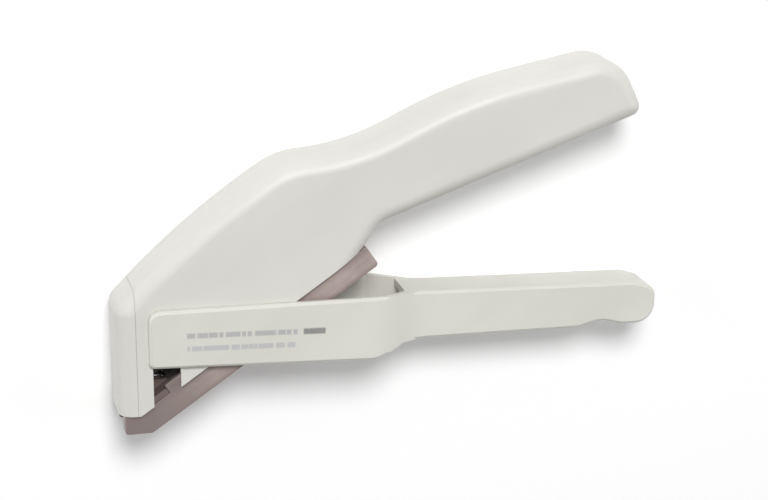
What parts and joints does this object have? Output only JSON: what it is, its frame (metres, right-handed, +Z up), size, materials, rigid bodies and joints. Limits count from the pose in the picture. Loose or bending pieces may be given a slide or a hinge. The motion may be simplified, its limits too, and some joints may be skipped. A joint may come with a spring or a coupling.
{
  "type": "skin stapler",
  "caption": "Hand-held surgical skin stapler: closed body with a nose and grip, forked squeeze lever, and a staple strip along its underside.",
  "frame": {"origin": "on the squeeze lever's pivot axis, on the outer face of the lower cheek, which lies on the table", "axes": "+X along the squeeze lever to its rear end, +Y away from the skin, square to the lever, +Z up from the table across the stapler's thickness"},
  "size_m": [0.1391, 0.0873, 0.022],
  "materials": {
    "ivory_plastic": "satin",
    "mauve_plastic": "satin",
    "dark_plastic": "matt",
    "sheet_steel": "brushed",
    "staple_wire": "drawn",
    "spring_steel": "drawn",
    "pin_steel": "ground"
  },
  "bodies": {
    "body": {"housing_left": "ivory_plastic", "housing_right": "ivory_plastic", "nose_cover": "ivory_plastic", "cartridge_strip": "mauve_plastic", "strip_end_plug": "mauve_plastic", "staple_rail": "sheet_steel", "anvil": "sheet_steel", "staple_ejector": "sheet_steel", "staple_stack": "staple_wire", "staple_cover": "dark_plastic", "feed_spring": "spring_steel", "spring_guide_rod": "pin_steel", "return_spring": "spring_steel", "pivot_pin": "pin_steel"},
    "lever": {"squeeze_lever": "ivory_plastic"},
    "former": {"former_plate": "sheet_steel", "former_carrier": "dark_plastic", "carrier_rivets": "pin_steel", "drive_pin": "pin_steel"},
    "pusher": {"staple_pusher": "dark_plastic"}
  },
  "joints": [
    {"name": "lever_squeeze", "type": "hinge", "parent": "body", "child": "lever", "pos_m": [0, 0, 0.011], "axis": [0, 0, 1], "range_deg": [0, 14], "stiffness_Nm_per_rad": 0.25, "springref_deg": -11.46},
    {"name": "former_drive", "type": "slide", "parent": "body", "child": "former", "axis": [0, -1, 0], "range_m": [0, 0.0046], "deforming": ["return_spring"]},
    {"name": "pusher_feed", "type": "slide", "parent": "body", "child": "pusher", "axis": [-0.8271, -0.5621, 0], "range_m": [0, 0.025], "deforming": ["feed_spring", "staple_stack"]}
  ],
  "couplings": [
    {"joint": "former_drive", "follows": "lever_squeeze", "m_per_rad": 0.018716}
  ]
}
